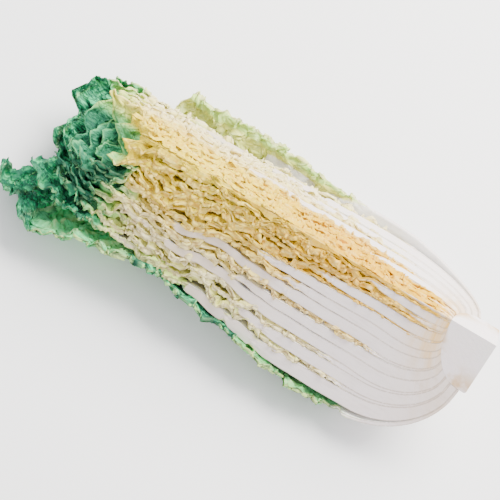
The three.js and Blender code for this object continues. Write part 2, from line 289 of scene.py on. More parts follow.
def mesh_object(name, points, parts, facts):
    """A closed piece from points in mm. Each part is (faces, flat, cut): quads or triangles."""
    mesh = bpy.data.meshes.new(name)
    sizes = np.concatenate([np.full(len(faces), faces.shape[1]) for faces, _, _ in parts])
    corners = np.concatenate([faces.ravel() for faces, _, _ in parts]).astype(np.int32)
    starts = np.concatenate([[0], np.cumsum(sizes)[:-1]]).astype(np.int32)
    mesh.vertices.add(len(points))
    mesh.vertices.foreach_set("co", (points * MM).astype(np.float32).ravel())
    mesh.loops.add(len(corners))
    mesh.loops.foreach_set("vertex_index", corners)
    mesh.polygons.add(len(sizes))
    mesh.polygons.foreach_set("loop_start", starts)
    smooth_faces = [np.broadcast_to(np.logical_not(flat), len(faces)) for faces, flat, _ in parts]
    mesh.polygons.foreach_set("use_smooth", np.concatenate(smooth_faces))
    mesh.update(calc_edges=True)
    for key, values in facts.items():
        kind, field = ("FLOAT_VECTOR", "vector") if values.ndim == 2 else ("FLOAT", "value")
        facts_here = mesh.attributes.new(key, kind, "POINT").data
        facts_here.foreach_set(field, values.astype(np.float32).ravel())
    cuts = np.concatenate([np.full(len(faces), float(cut)) for faces, _, cut in parts])
    mesh.attributes.new("cut", "FLOAT", "FACE").data.foreach_set("value", cuts)
    mesh.validate()
    return add_object(name, mesh)


def strip(a, b):
    """Quads between two lines of points."""
    return np.stack([a[:-1], a[1:], b[1:], b[:-1]], axis=-1).reshape(-1, 4)


def sheet_quads(index):
    """Quads over a grid of points."""
    corners = [index[:-1, :-1], index[1:, :-1], index[1:, 1:], index[:-1, 1:]]
    return np.stack(corners, axis=-1).reshape(-1, 4)


def skin(name, outer, inner, cuts, facts):
    """A closed leaf from its outer and inner points, rows by columns by 3, and for its front and
    back cuts the lines of points between them, with the shade painted where each of them sinks."""
    rows, columns = outer.shape[:2]
    out = np.arange(rows * columns).reshape(rows, columns)
    ins = out + rows * columns
    parts = [
        (sheet_quads(out), False, False),
        (sheet_quads(ins)[:, ::-1], False, False),
        (strip(out[0], ins[0]), True, False),
        (strip(ins[-1], out[-1]), False, False),
    ]
    points = [outer.reshape(-1, 3), inner.reshape(-1, 3)]
    both = {key: [value.reshape(rows * columns, -1)] * 2 for key, value in facts.items()}
    both["side"] = [np.repeat([1.0, -1.0], rows * columns)[:, None]]
    first = 2 * rows * columns
    for column, (line_points, painted_pit_shades) in zip((0, -1), cuts):
        count = len(line_points)
        lines = first + np.arange(count * rows).reshape(count, rows)
        first += count * rows
        ladder = [ins[:, column], *lines, out[:, column]]
        if column == -1:
            ladder = ladder[::-1]
        stiff = facts["limp"][1:, column] < 0.5  # a rib is cut flat, a blade isn't
        parts += [(strip(a, b), stiff, True) for a, b in zip(ladder[:-1], ladder[1:])]
        ends = np.array([[line[0] for line in ladder], [line[-1] for line in ladder[::-1]]])
        parts.append((ends[:, ::-1], True, True))
        points.append(line_points.reshape(-1, 3))
        for key, value in facts.items():
            if key != "painted_pit_shade":
                both[key] += [value[:, column].reshape(rows, -1)] * count
        both["side"].append(np.repeat(np.linspace(-1, 1, count + 2)[1:-1], rows)[:, None])
        both["painted_pit_shade"].append(painted_pit_shades.reshape(-1, 1))
    both = {key: np.concatenate(values).squeeze() for key, values in both.items()}
    return mesh_object(name, np.concatenate(points), parts, both)


def wedge(name, outer, facts):
    """A closed piece between its outer points and the head's axis."""
    rows, columns = outer.shape[:2]
    out = np.arange(rows * columns).reshape(rows, columns)
    axis = np.arange(rows) + rows * columns
    line = outer[:, 0, 0][:, None] * (1, 0, 0) + np.array((0, 0, RIDGE_HEIGHT))
    first = np.stack([out[0, :-1], out[0, 1:], np.full(columns - 1, axis[0])], axis=-1)
    last = np.stack([out[-1, 1:], out[-1, :-1], np.full(columns - 1, axis[-1])], axis=-1)
    parts = [
        (sheet_quads(out), False, False),
        (strip(axis, out[:, 0]), True, True),
        (strip(out[:, -1], axis), True, True),
        (first, True, True),
        (last, True, False),
    ]
    points = np.concatenate([outer.reshape(-1, 3), line])
    both = {}
    for key, value in facts.items():
        flat = value.reshape(rows, columns, -1)
        on_axis = flat[:, 0] * (key != "rim")
        both[key] = np.concatenate([flat.reshape(rows * columns, -1), on_axis]).squeeze()
    both["side"] = np.concatenate([np.ones(rows * columns), np.zeros(rows)])
    return mesh_object(name, points, parts, both)


print("a skin closes a leaf, a wedge closes the bud and the stem")

# %% [markdown]
# ## A fine leaf
#
# Rows of points run from the dome to the ragged end of the leaf, closer together than the
# creases are long. Columns crowd towards the cut faces, where the leaf is seen edge on. A white
# rib fills its room up to some height, and beyond that the leaf is a thin blade, limp enough to
# buckle. The loose outermost leaf is torn along both of its margins.

# %% A leaf laid out in rows and columns
BASE_ROWS, BASE_CROWDING = 26, 1.3
TIP_ROWS, TIP_CROWDING = 270, 0.35
EDGE_ANGLES = [0, 0.5, 1.1, 1.8, 2.7, 3.8, 5.2, 7.0]  # columns just behind each cut face
OPEN_LEAVES = 3  # loose enough to be blistered
MIDDLE_COLUMNS = [116, 64, 44] + [24] * 8  # of the outer leaves and of those whose tips show
HIDDEN_COLUMNS = 16
FIRST_T = 35  # mm, where the noise is read for a leaf's first row
BASE_GAP = 0.03  # leaves grow out of the stem, so they all but touch there
OPEN_GAP, OPEN_FROM = 0.35, (45, 130)
OUTER_BLADE, HEART_BLADE = 1.4, 1.1  # mm thick
LEAST_BLADE, END_THINNING, END_LENGTH = 0.5, 0.55, 2.5
FRONT_TEAR, BACK_TEAR = ((50, 64), (104, 120)), ((22, 70), (105, 165))  # mm up the leaf
FRONT_CORNER = (10, (-0.02, 0.03), (0.1, 0.3))  # mm taller, and shares of the way round
BACK_CORNER = (9, (0.3, 0.55), (0.8, 0.98))
RIB_REACH = 232  # how far up a leaf its white rib runs
RIB_NARROWING = 2.5  # mm less for each degree away from the midrib
RIB_BASE, HEART_RIB_BASE = 72, 34  # mm up the leaf where even its margin is still rib
HEART_LEAVES, HEART_FRONT = (0.5, 0.75), (-30, 20)  # shares of the way in, and degrees

# Each kind of fold has a height, a length along the leaf and a width across it in mm, and a
# number that sets its seed apart from the leaf's other ones.
FOLDS = {
    "crease": (0.34, 4.4, 6, 0),
    "wrinkle": (0.34, 2.1, 2.6, 1),
    "ruffle": (2.2, 7, 3.4, 2),
    "long slide": (3.6, 5.2, 5, 3),
    "short slide": (2.0, 2.2, 3, 4),
    "buckle": (1, 12, 15, 5),
    "bunch": (1, 3.4, 4, 6),
    "warp": (1.2, 7, 7, 6),
    "worms": (1, 2.0, 2.6, 7),
    "gape": (1, 6, 3, 7),
    "bulge": (1.8, 6, 6, 9),
    "green patch": (1, 16, 14, 10),
    "open pleat": (1.8, 9, 2.4, 11),
    "pleat": (1.8, 9, 3.6, 11),
    "pleat line": (3, 30, 12, 12),
}


def column_shares(middle_columns):
    """Shares of the way from the front cut face to the back one."""
    edge = np.array(EDGE_ANGLES) / (2 * CUT_ANGLE)
    middle = np.linspace(edge[-1], 1 - edge[-1], middle_columns)
    return np.concatenate([edge[:-1], middle, 1 - edge[-2::-1]])


def place(t, r, angle):
    a = np.radians(angle)
    return np.stack([BUTT_X - t, r * np.sin(a), RIDGE_HEIGHT - r * np.cos(a)], axis=-1)


def torn(t, share):
    """How many degrees the loose leaf's two torn margins draw back from the cuts."""
    tooth = 1 - ((t + 3 * noise(t / 8, 0.5, 61)) / 19) % 1
    teeth = 5.5 * tooth + 1.2 * noise(t / 2.5, 0.5, 62) - 2
    front = teeth * between(*FRONT_TEAR, t)
    front = front + 1.6 * noise(t / 3, 0.5, 63) * ease(*FRONT_TEAR[1], t)
    back = 3.2 * between(*BACK_TEAR, t) + 1.3 * noise(t / 4, 0.5, 64) * ease(90, 150, t)
    return front * (1 - share) ** 14 + back * share**14


class Sheet:
    """A leaf laid out in rows and columns: where each point is and how much room it has."""

    def __init__(self, leaf, middle_columns):
        self.leaf = leaf
        share = column_shares(middle_columns)[None, :]
        base = np.linspace(0, 1, BASE_ROWS)[:, None] ** BASE_CROWDING
        tip = np.linspace(0, 1, TIP_ROWS + 1)[1:, None]
        if leaf.n < OPEN_LEAVES:  # closer together where the leaf is blistered
            tip = mix(tip, 1 - (1 - tip) ** 2, TIP_CROWDING)
        ends = leaf.end_at(leaf.angle_at(np.array(leaf.end), share))
        if leaf.n == 0:  # torn where the next leaf's rib shows
            taller, rise, fall = FRONT_CORNER
            ends = ends + 4 * noise(share * 30, 0.5, 3) + taller * between(rise, fall, share)
        elif leaf.n < OPEN_LEAVES:  # the tallest part of the tip, towards the back
            taller, rise, fall = BACK_CORNER
            ends = ends + taller * between(rise, fall, share)
        base_t = mix(FIRST_T, STRAIGHT_T, base) + 0 * share
        self.t = np.concatenate([base_t, mix(STRAIGHT_T, ends, tip)])
        self.angle = leaf.angle_at(np.where(self.t < STRAIGHT_T, 0, self.t), share)
        if leaf.n == 0:
            self.angle = self.angle + torn(self.t, share)
        self.base_row = np.concatenate([base + 0 * share, np.ones((TIP_ROWS, share.size))])
        self.away = np.maximum(ends - self.t, 0)  # mm from the leaf's end
        inner, shares = shares_at(self.t, self.angle)
        self.start = inner[leaf.n]
        self.stop = self.start + shares[leaf.n]
        self.radius = np.maximum(self.start * head_radius(self.t, self.angle), 4)
        self.arc = np.radians(self.angle) * np.maximum(self.radius, 18)  # mm across the leaf
        (t_in, r_in), (t_out, r_out) = self.at(self.start), self.at(self.stop)
        self.band = np.hypot(t_out - t_in, r_out - r_in)
        self.scale = self.band / shares[leaf.n]
        self.white = self.rib_share()
        free_at = mix(40, 24, ease(*HEART_LEAVES, leaf.inward))
        self.limp = (1 - self.white) * ease(free_at, 2 * free_at, self.t)  # free to buckle

    def at(self, depth):
        dome_t, _ = dome_at(depth, self.angle)
        row_t = np.where(self.base_row < 1, mix(dome_t, STRAIGHT_T, self.base_row), self.t)
        return row_t, radius_at(row_t, depth, self.angle)

    def across_from(self, angle):
        """mm round the leaf from a line up it at an angle."""
        return np.abs(self.angle - angle) * np.radians(1) * self.radius

    def fold(self, kind, shift=0, aside=0):
        height, length, width, seed = FOLDS[kind]
        along_leaf, across = self.t / length + shift, self.arc / width + aside
        return height * noise(along_leaf, across, self.leaf.seed + seed)

    def rib_share(self):
        """1 where the white rib fills the room at each angle, 0 where the leaf is all blade."""
        leaf, t, angle = self.leaf, self.t, self.angle
        off = np.abs(angle - leaf.midrib)
        reach = np.clip(RIB_REACH - RIB_NARROWING * off, RIB_BASE, None) - 40 * leaf.inward
        heart = ease(*HEART_LEAVES, leaf.inward) * mix(0.62, 1, ease(*HEART_FRONT, angle))
        reach = mix(reach, HEART_RIB_BASE, heart)
        reach = reach + 9 * noise(self.arc / 10, 0.5, 70 + leaf.n)
        white = 1 - ease(reach - 22, reach + 26, t)
        if leaf.n == 0:  # thin where it is torn, but ribbed further up towards the back cut
            white = white * (1 - ease(44, 58, t) * ease(-22, -38, angle))
            ribbed = between((15, 35), (44, 48), angle)
            white = np.maximum(white, ribbed * (1 - ease(165, 200, t)))
        buckled = ease(0.1, 0.5, self.fold("buckle")) * ease(105, 150, t)
        return white * (1 - 0.9 * buckled)

    def thickness(self):
        """Blades are thin, and here and there folded on themselves until they fill their room."""
        blade = mix(OUTER_BLADE, HEART_BLADE, self.leaf.inward)
        gap = mix(BASE_GAP, OPEN_GAP, ease(*OPEN_FROM, self.t))
        gap = gap * (1 + 1.4 * ease(0.1, 0.7, self.fold("gape")))
        filled = self.limp * ease(-0.8, -0.05, self.fold("bunch")) * (1 - ease(228, 262, self.t))
        room = np.maximum(self.band - gap, blade)
        thick = mix(blade, room, np.maximum(self.white**0.8, filled))
        thick = np.minimum(thick, np.maximum(self.band - gap, LEAST_BLADE))
        return thick * (1 - END_THINNING * np.exp(-self.away / END_LENGTH))


print(BASE_ROWS + TIP_ROWS, "rows,", [len(column_shares(n)) for n in MIDDLE_COLUMNS[:4]], "columns")

# %% [markdown]
# ### Folds, veins and cut edges
#
# A blade that was squeezed in the head springs out of the cut a little or draws back from it, so
# its cut edge stands proud or sinks, while a stiff midrib stays flush. A blade has more length
# than room, so its creases also slide along the head and fold over. Side veins slant up and out
# from an outer leaf's midrib, and each hollow between them is a blister.

# %% Folds, veins and cut edges
PLEATED_LEAVES = range(2, 11)
BLISTER_HEIGHT, TIP_BLISTER_HEIGHT = 0.6, 2.3
SPRING_REACH, SPRING_SUNK, HEART_SPRING = 6, 0.4, {-1: 1.2, 1: 2.2}  # mm, front and back
VEIN_SPACING, VEIN_WIDTH, VEIN_SLOPE = 15.0, 1.2, 0.85
VEIN_HEIGHT, CORD_HEIGHT, CORD_WIDTH = 0.7, 0.18, 1.6
CUT_LINES = 4  # across a cut edge


def folds(sheet):
    """Each point's rise off its leaf and slide along it, in mm, and how high its blisters are."""
    t, arc, limp, n = sheet.t, sheet.arc, sheet.limp, sheet.leaf.n
    # shared is the same in every leaf
    shared = 3.0 * noise(t / 11, arc / 20 + 9 * sheet.start, 7) * ease(80, 150, t)
    tipward = ease(190, 235, t)
    room = np.maximum(np.clip(sheet.band, 0, 6), 4.5 * tipward)  # mm to fold in
    own = sheet.fold("crease", shift=9) + sheet.fold("wrinkle")
    ruffle = sheet.fold("ruffle") * np.exp(-sheet.away / 10)
    narrow = sheet.fold("open pleat" if n < OPEN_LEAVES else "pleat")
    if n in PLEATED_LEAVES:  # pleated along the leaf, as its tip is gathered in
        narrow = 0.8 * narrow + 0.6 * np.sin(arc + sheet.fold("pleat line"))
    big = tipward * (sheet.fold("bulge") + narrow)
    rise = shared * mix(0.25, 1, limp) + limp * (room * own + ruffle + big)
    slide = limp * (sheet.fold("long slide") + sheet.fold("short slide"))
    puffs = 0 * t
    if n < OPEN_LEAVES:
        warp = sheet.fold("warp")
        puffs = ease(0.06, 0.5, np.abs(sheet.fold("worms", warp, -warp))) * limp
        blistered = ease(205, 245, t)
        if n == 0:  # smooth between its blistered tip and its torn margin
            kept = np.maximum(ease(258, 268, t), ease(-24, -12, sheet.angle))
            blistered = blistered * mix(0.25, 1, kept)
            calm = ease(215, 230, t) * (1 - blistered) * ease(-12, -22, sheet.angle)
            puffs = mix(puffs, 1, calm)
        height = mix(BLISTER_HEIGHT, TIP_BLISTER_HEIGHT, blistered)
        rise = rise + (puffs - 0.5 * limp) * height
    # the heart is packed too close to slide far
    frill = mix(1, 0.3, ease(10, 14, n) * ease(215, 235, t)) * mix(1, 0.65, ease(8, 12, n))
    return rise, slide * frill * ease(0, 12, sheet.away + 4), puffs


def spring_out(sheet, side):
    """How many mm the cut edge stands out of a cut face. side is -1 for the front, 1 the back."""
    t, inward, seed = sheet.t, sheet.leaf.inward, sheet.leaf.seed + 8
    near = bell(sheet.across_from(side * CUT_ANGLE), SPRING_REACH)
    jagged = 2.2 * noise(t / 6, 0.5 + 3 * side, seed) + 1.5 * noise(t / 2.6, 0.5, seed + 1)
    jagged = jagged * mix(1, 0.6, ease(0.5, 0.7, inward))
    heart = HEART_SPRING[side] * inward * ease(90, 180, t)
    return near * sheet.limp * (jagged - SPRING_SUNK + heart)


def veins(sheet):
    """1 along the side veins of an outer leaf, which slant up and out from its midrib."""
    leaf, t = sheet.leaf, sheet.t
    if leaf.n >= OPEN_LEAVES:
        return 0 * t
    across = sheet.across_from(leaf.midrib)
    wander = 5 * noise(t / 22, sheet.arc / 22, 90 + leaf.n)
    along_leaf = t - VEIN_SLOPE * across + wander
    off = np.abs(along_leaf / VEIN_SPACING % 1 - 0.5) * VEIN_SPACING
    return bell(off, VEIN_WIDTH) * ease(1, 14, across) * sheet.limp


def cut_lines(sheet, outer, inside, face):
    """Lines of points across a cut edge, which is crumpled where the blade is bunched up, and the
    shade painted where each point sinks.
    """
    column = 0 if face < 0 else -1
    t, limp, seed = sheet.t[:, column], sheet.limp[:, column], sheet.leaf.seed + 9
    thick = np.linalg.norm(outer[:, column] - inside[:, column], axis=-1)
    lines, painted_pit_shades = [], []
    for share in np.linspace(0, 1, CUT_LINES + 2)[1:-1]:
        line = mix(inside[:, column], outer[:, column], share)
        height = 2 * np.abs(noise(t / 2.1, share * thick / 1.6, seed)) - 0.6
        height = height + 0.4 * noise(t / 1.3, share * thick / 0.9, seed + face)
        relief = limp * height * np.clip(thick - 0.6, 0, 1.5)
        lines.append(line + relief[:, None] * np.array((0, face, 1)) / math.sqrt(2))
        # painted shade where the cut edge sinks below the cut face
        painted_pit_shades.append(ease(0.0, -0.9, relief))
    return np.array(lines), np.array(painted_pit_shades)


print(len(FOLDS), "kinds of fold,", CUT_LINES, "lines across each cut edge")

# %% [markdown]
# ### Where a leaf is green, stained or painted with shade
#
# Light reached the tips, the outermost leaves and a torn margin, and only those are green. Leaves
# are stained tan or gold where they leave the stem. Shade is painted in deep behind the cuts and in
# the gap under the loose leaf's torn front margin. These facts are worked out at each point and
# kept on the mesh, where the finishes read them.

# %% Facts for the finishes
# How green a leaf is by its number, at its tip and elsewhere.
LIT_TIP = [(0, 1.0), (3, 0.92), (6, 0.8), (10, 0.78), (12, 0.5), (14, 0.0)]
LIT_SIDE = [(0, 0.55), (1, 0.28), (2, 0.12), (4, 0.06), (9, 0)]
LIT_FROM, INNER_LEAVES = 212, (5, 10)  # mm up the leaf, and leaves that saw less light
PALE_RIM, RIM_WIDTH = 0.2, 1.3
NEVER = (400, 401)  # beyond every leaf's end
# How green the loose leaf is in some parts, where each starts and stops, and towards which angle.
LOOSE_GREENS = [
    (0.85, (105, 140), (205, 225), (-24, -42)),
    (0.7, (210, 230), NEVER, (8, -15)),
    (0.6, (44, 60), NEVER, (-22, -38)),
    (0.35, (30, 60), NEVER, (46.5, 48.2)),
]
OUTER_HAZE, HAZE_LEAVES, HAZE_LENGTH = 0.35, (5, 11), 15
GOLD, HEART_COLOURED = (90, 200), (4, 11)


def base_haze(sheet):
    """How far a leaf is stained tan or gold where it leaves the stem."""
    dome_t, _ = dome_at(sheet.start, sheet.angle)
    row_t, _ = sheet.at(sheet.start)
    most = mix(OUTER_HAZE, 1.0, ease(*HAZE_LEAVES, sheet.leaf.n))
    return most * bell(row_t - dome_t, HAZE_LENGTH)


def greenness(sheet):
    """0 where a blade is cream, 1 where it is dark green."""
    n, t, angle = sheet.leaf.n, sheet.t, sheet.angle
    patch = sheet.fold("green patch")
    lit_tip = np.interp(n, *zip(*LIT_TIP))
    lit_tip = lit_tip * (1 if n < OPEN_LEAVES else mix(1, 0.4, ease(18, 40, angle)))
    lit_from = LIT_FROM + (32 * ease(5, -25, angle) if n == 0 else 0)
    lit_from = lit_from + 34 * ease(25, 45, angle) + 22 * ease(*INNER_LEAVES, n)
    lit_over = mix(50, 24, ease(*INNER_LEAVES, n))
    reached = t + 12 * patch + 0.4 * np.maximum(30 - sheet.away, 0)
    tip = lit_tip * ease(lit_from, lit_from + lit_over, reached)
    lit_side = np.interp(n, *zip(*LIT_SIDE)) * mix(1, 0.32, ease(0, 35, angle))
    green = np.maximum(tip, lit_side * ease(60, 150, t))
    if n == 0:
        green = np.maximum(green, ease(262, 276, t + 6 * patch))
        for amount, rise, fall, toward in LOOSE_GREENS:
            green = np.maximum(green, amount * between(rise, fall, t) * ease(*toward, angle))
    return green * (1 - PALE_RIM * bell(sheet.away, RIM_WIDTH))


def facts_of(sheet, behind, puffs, vein, thick):
    """What the finishes read, at each point. behind is how many mm it lies behind the cuts."""
    n, t = sheet.leaf.n, sheet.t
    # painted shade: darker the further a point lies behind the cuts and away from the leaf's end
    painted_depth_shade, painted_pit_shade = ease(0, 9, behind) * ease(8, 32, sheet.away), 0 * t
    if n == 0:
        painted_depth_shade = painted_depth_shade * (0.35 - 0.25 * ease(200, 230, t))
        # painted shade in the gap under the loose leaf's torn front margin
        painted_pit_shade = ease(1.5, 4.5, behind) * ease(-10, -30, sheet.angle)
        painted_pit_shade = painted_pit_shade * between((48, 60), (195, 225), t)
    return {
        "limp": sheet.limp,
        "green": greenness(sheet),
        "heart": ease(*HEART_COLOURED, n) * mix(1, 0.92, ease(105, 190, t)),
        "gold": 1 - ease(*GOLD, t),
        "painted_depth_shade": painted_depth_shade,
        "painted_pit_shade": painted_pit_shade,
        "puff": puffs,
        "base": base_haze(sheet),
        "vein": vein,
        "thick": thick,
        "sheet": np.stack([t / 100, sheet.arc / 100, np.full_like(t, n)], axis=-1),
    }


def leaf_points(leaf, middle_columns):
    """A fine leaf's outer and inner points, the lines across its cuts, and its facts."""
    sheet = Sheet(leaf, middle_columns)
    n, t, angle, arc = leaf.n, sheet.t, sheet.angle, sheet.arc
    thick = sheet.thickness()
    rise, slide, puffs = folds(sheet)
    vein = veins(sheet)
    cords = CORD_HEIGHT * np.sin(arc / CORD_WIDTH + 2 * noise(t / 30, arc / 8, 5 + n))
    cords = VEIN_HEIGHT * vein + cords * sheet.white * ease(20, 60, t)
    flare = leaf.flare_at(t, angle)
    if n == 0:  # looser towards the back cut
        flare = flare + 3.0 * ease(15, 45, angle) * between((25, 70), (215, 245), t)
    springs = [(side, spring_out(sheet, side)) for side in (-1, 1)]

    def surface(side):
        half = thick / sheet.scale / 2
        middle = sheet.stop - half if n == 0 else (sheet.start + sheet.stop) / 2
        here_t, here_r = sheet.at(middle + side * half)
        limit = floor_radius(angle) - (0 if side > 0 else thick)
        r = np.clip(here_r + flare + rise + side * cords, 0.2, limit)
        points = place(here_t + slide, r, angle)
        for face, push in springs:
            points = points + (push / math.sqrt(2))[..., None] * np.array((0, face, 1))
        points[..., 2] = np.maximum(points[..., 2], 0 if side > 0 else LEAST_BLADE)
        return points

    behind = (CUT_ANGLE - np.abs(angle)) * np.radians(1) * sheet.radius
    behind = behind - 1.2 * sum(push for _, push in springs)
    outer, inside = surface(1), surface(-1)
    cuts = [cut_lines(sheet, outer, inside, face) for face in (-1, 1)]
    return outer, inside, cuts, facts_of(sheet, behind, puffs, vein, thick)


print("green at the tips, by leaf:", dict(LIT_TIP))

# %% [markdown]
# ## Finishes
#
# Shader maths is written as plain expressions. A Signal wraps a node's output, and each sign
# between two signals adds a Math node.

# %% Shader expressions
SPECULAR, SUBSURFACE_RADIUS = 0.15, (0.004, 0.0035, 0.002)


def add_node(tree, kind, settings=None, inputs=None, output=0):
    """Adds a node to a tree. Each input is a socket or a value."""
    made = tree.nodes.new(kind)
    for key, value in (settings or {}).items():
        setattr(made, key, value)
    for key, value in (inputs or {}).items():
        if isinstance(value, bpy.types.NodeSocket):
            tree.links.new(value, made.inputs[key])
        else:
            made.inputs[key].default_value = value
    return made.outputs[output]


class Signal:
    """A number or colour that varies over a surface."""

    def __init__(self, finish, socket):
        self.finish, self.socket = finish, socket

    def _math(self, operation, *terms):
        return self.finish.node("ShaderNodeMath", {"operation": operation}, dict(enumerate(terms)))

    def __add__(self, other):
        return self._math("ADD", self, other)

    def __sub__(self, other):
        return self._math("SUBTRACT", self, other)

    def __rsub__(self, other):
        return self._math("SUBTRACT", other, self)

    def __mul__(self, other):
        return self._math("MULTIPLY", self, other)

    __radd__, __rmul__ = __add__, __mul__

    def __abs__(self):
        return self._math("ABSOLUTE", self)

    def step(self, start, end):
        """0 below start, 1 above end, smooth between."""
        settings = {"interpolation_type": "SMOOTHSTEP"}
        inputs = {"Value": self, "From Min": start, "From Max": end}
        return self.finish.node("ShaderNodeMapRange", settings, inputs)


class Finish:
    """A material under construction, with its Principled shader."""

    def __init__(self, name, roughness, subsurface=0.0):
        self.material = bpy.data.materials.new(name)
        self.material.use_nodes = True
        self.tree = self.material.node_tree
        self.shader = self.tree.nodes["Principled BSDF"]
        constants = {"Roughness": roughness, "Specular IOR Level": SPECULAR}
        constants |= {"Subsurface Weight": subsurface, "Subsurface Radius": SUBSURFACE_RADIUS}
        for key, value in constants.items():
            self.shader.inputs[key].default_value = value

    def node(self, kind, settings=None, inputs=None, output=0):
        plain = {k: v.socket if isinstance(v, Signal) else v for k, v in (inputs or {}).items()}
        return Signal(self, add_node(self.tree, kind, settings, plain, output))

    def fact(self, name, output="Fac"):
        return self.node("ShaderNodeAttribute", {"attribute_name": name}, output=output)

    def blend(self, factor, a, b):
        a, b = (c if isinstance(c, Signal) else (*c, 1) for c in (a, b))
        return self.node("ShaderNodeMix", {"data_type": "RGBA"}, {0: factor, 6: a, 7: b}, output=2)

    def paint(self, colour, layers):
        for factor, over in layers:
            colour = self.blend(factor, colour, over)
        return colour

    def ramp(self, factor, stops):
        made = self.node("ShaderNodeValToRGB", inputs={0: factor})
        elements = made.socket.node.color_ramp.elements
        while len(elements) < len(stops):
            elements.new(0.5)
        for element, (at, colour) in zip(elements, stops):
            element.position = at
            element.color = (*colour, 1)
        return made

    def here(self):
        return self.node("ShaderNodeTexCoord", output="Object")

    def stretch(self, vector, by):
        return self.node("ShaderNodeVectorMath", {"operation": "MULTIPLY"}, {0: vector, 1: by})

    def speckle(self, vector, scale, detail=3):
        inputs = {"Vector": vector, "Scale": scale, "Detail": detail, "Roughness": 0.6}
        return self.node("ShaderNodeTexNoise", {"noise_dimensions": "3D"}, inputs)

    def cracks(self, vector, scale):
        """0 on the lines between cells, rising away from them."""
        inputs = {"Vector": vector, "Scale": scale, "Randomness": 1.0}
        return self.node("ShaderNodeTexVoronoi", {"feature": "DISTANCE_TO_EDGE"}, inputs)

    def set(self, name, signal):
        self.tree.links.new(signal.socket, self.shader.inputs[name])

    def bump(self, height, distance, strength):
        inputs = {"Height": height, "Distance": distance, "Strength": strength}
        self.set("Normal", self.node("ShaderNodeBump", inputs=inputs))


print("subsurface scatters up to", max(SUBSURFACE_RADIUS) / MM, "mm")

# %% [markdown]
# ### Leaf
#
# The midrib is white and faintly ribbed. The blade is cream inside the head, warm yellow in the
# heart and green where it saw light, which is at the tips and on the outermost leaves. A net of
# paler veins lies over it. The knife's cut shows the same tissue a little darker and wetter.
# Shade is painted into crevices, savoy valleys, the hollows between blisters and deep behind the
# cuts, a highlight onto the tops of blisters, and light onto the heart's cut on the front face.

# %% Leaf and stem finishes
RIB_WHITE = (0.88, 0.86, 0.82)
RIB_CUT = (0.87, 0.785, 0.76)
RIB_CUT_TIPWARD = (0.76, 0.64, 0.50)
# the rib's fibres and edge lines, and also its painted shade behind the cuts
RIB_LINE_AND_PAINTED_SHADE = (0.42, 0.32, 0.24)
STEM_TAN = (0.62, 0.36, 0.10)
STEM_CUT = (0.93, 0.79, 0.79)
BASE_GOLD = (0.84, 0.50, 0.10)
HEART_GOLD, HEART_LEMON = (0.76, 0.43, 0.002), (0.82, 0.62, 0.004)
GRAIN = (0.22, 1.0, 1.0)  # fibres and small creases are longer along the head
PLEATS = (0.42, 1.0, 1.0)
# painted shade for the heart's crevices and gaps
HEART_PAINTED_SHADE = (0.78, 0.42, 0.02)
# painted light: the heart's cut is made paler on the front cut face only
HEART_CUT_PAINTED_LIGHT = (0.95, 0.78, 0.36)
# painted shade for the crevices and gaps of the cream head
HEAD_PAINTED_SHADE = (0.45, 0.31, 0.13)
# painted shade for green crevices, savoy valleys and the hollows between blisters
GREEN_PAINTED_SHADE = (0.012, 0.10, 0.06)
# painted highlight for the tops of blisters
BLISTER_PAINTED_HIGHLIGHT = (0.10, 0.52, 0.20)
VEIN_GREEN = (0.62, 0.74, 0.34)
BLADE_GREENS = [
    (0.0, (0.92, 0.77, 0.32)),
    (0.2, (0.74, 0.80, 0.20)),
    (0.5, (0.27, 0.62, 0.17)),
    (0.75, (0.12, 0.70, 0.28)),
    (1.0, (0.05, 0.54, 0.22)),
]
CUT_GREENS = [
    (0.0, (0.94, 0.82, 0.50)),
    (0.4, (0.74, 0.78, 0.30)),
    (0.8, (0.50, 0.70, 0.24)),
    (1.0, (0.26, 0.56, 0.2)),
]
MOTTLES, SPECKS, NET, WINDINGS = 26, 140, 34, 50  # per 100 mm
FIBRES, CRACKS = 420, 340  # per metre
LEAF_ROUGHNESS, LEAF_RELIEF = 0.45, 0.8 * MM
EDGE_LINE = 1.4  # mm, the darker line along each side of a cut rib


